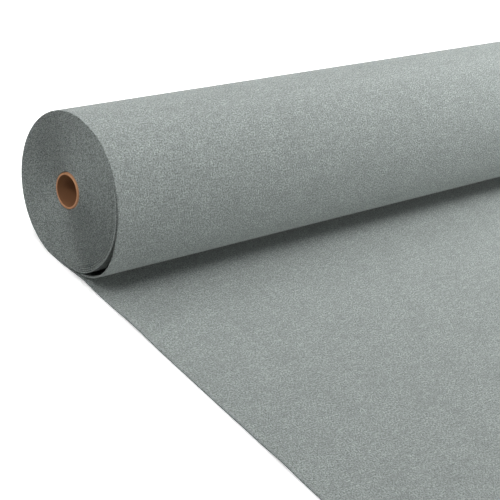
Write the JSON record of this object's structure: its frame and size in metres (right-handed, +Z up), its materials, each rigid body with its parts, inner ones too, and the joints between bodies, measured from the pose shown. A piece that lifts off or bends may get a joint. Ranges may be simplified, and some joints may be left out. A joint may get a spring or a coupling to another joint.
{
  "type": "roll of geotextile fabric",
  "caption": "Roll of thick nonwoven geotextile on a paper core, its last turn slack and its loose end drawn out flat from under the roll.",
  "frame": {"origin": "on the floor, under the middle of the part's box", "axes": "+X along the roll from the end with the slack turn in view, -Y towards the cut end of the loose cloth, +Z up"},
  "size_m": [1.5048, 0.985, 0.2485],
  "materials": {
    "felt": "matte grey-green needle felt with a fine speckled grain",
    "core_paper": "matte brown wound paper"
  },
  "bodies": {
    "root": {"wound_cloth": "felt", "loose_cloth": "felt", "paper_core": "core_paper"}
  },
  "joints": []
}
